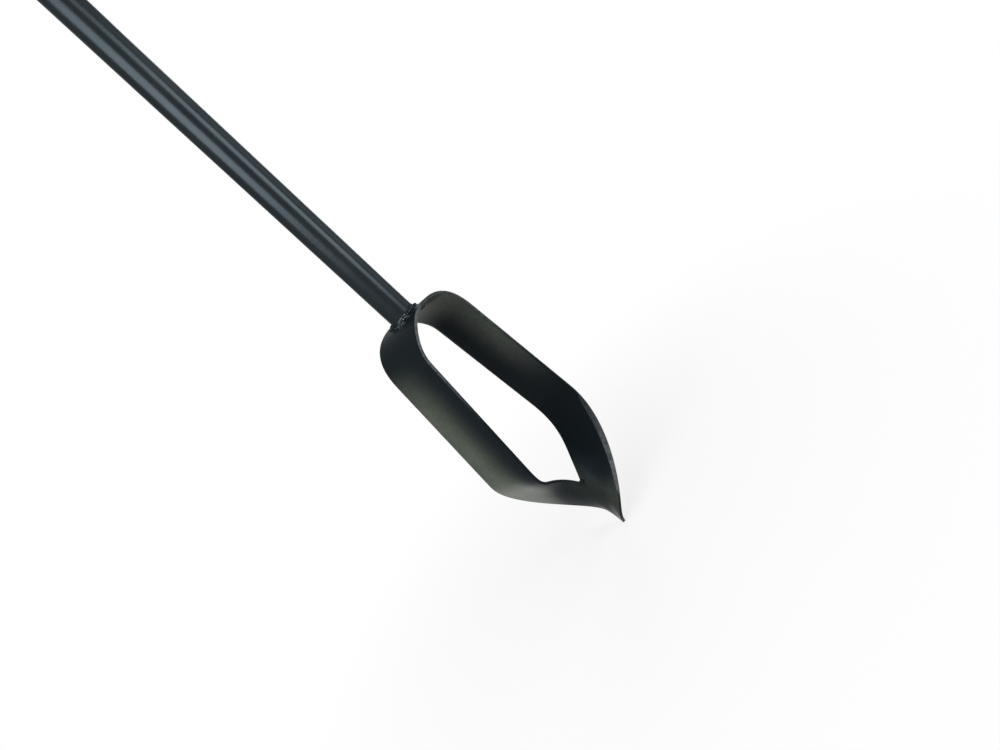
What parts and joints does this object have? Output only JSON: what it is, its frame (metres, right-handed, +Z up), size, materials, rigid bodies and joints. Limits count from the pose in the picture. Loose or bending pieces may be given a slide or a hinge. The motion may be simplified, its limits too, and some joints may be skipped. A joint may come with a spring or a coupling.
{
  "type": "post hole auger",
  "caption": "Hand post hole auger: twisted steel blades bent into a hoop and drawn to a screw point, welded under a tube shaft with a tee crossbar and ribbed rubber grips.",
  "frame": {"origin": "the point of the blades, on the axis of the shaft, at the bottom centre of the bounding box", "axes": "+Z up the shaft, +X along the crossbar to the right grip, -Y out of the side that carries the label"},
  "size_m": [0.451, 0.0756, 1.1],
  "materials": {
    "blade_paint": "semi-gloss",
    "tube_paint": "semi-gloss",
    "grip_rubber": "matte",
    "weld_paint": "semi-gloss",
    "label_film": "satin"
  },
  "bodies": {
    "root": {"right_blade": "blade_paint", "left_blade": "blade_paint", "shaft_tube": "tube_paint", "crossbar_tube": "tube_paint", "right_grip": "grip_rubber", "left_grip": "grip_rubber", "tee_weld": "weld_paint", "head_weld": "weld_paint", "crown_seam_weld": "weld_paint", "throat_weld": "weld_paint", "label": "label_film"}
  },
  "joints": []
}
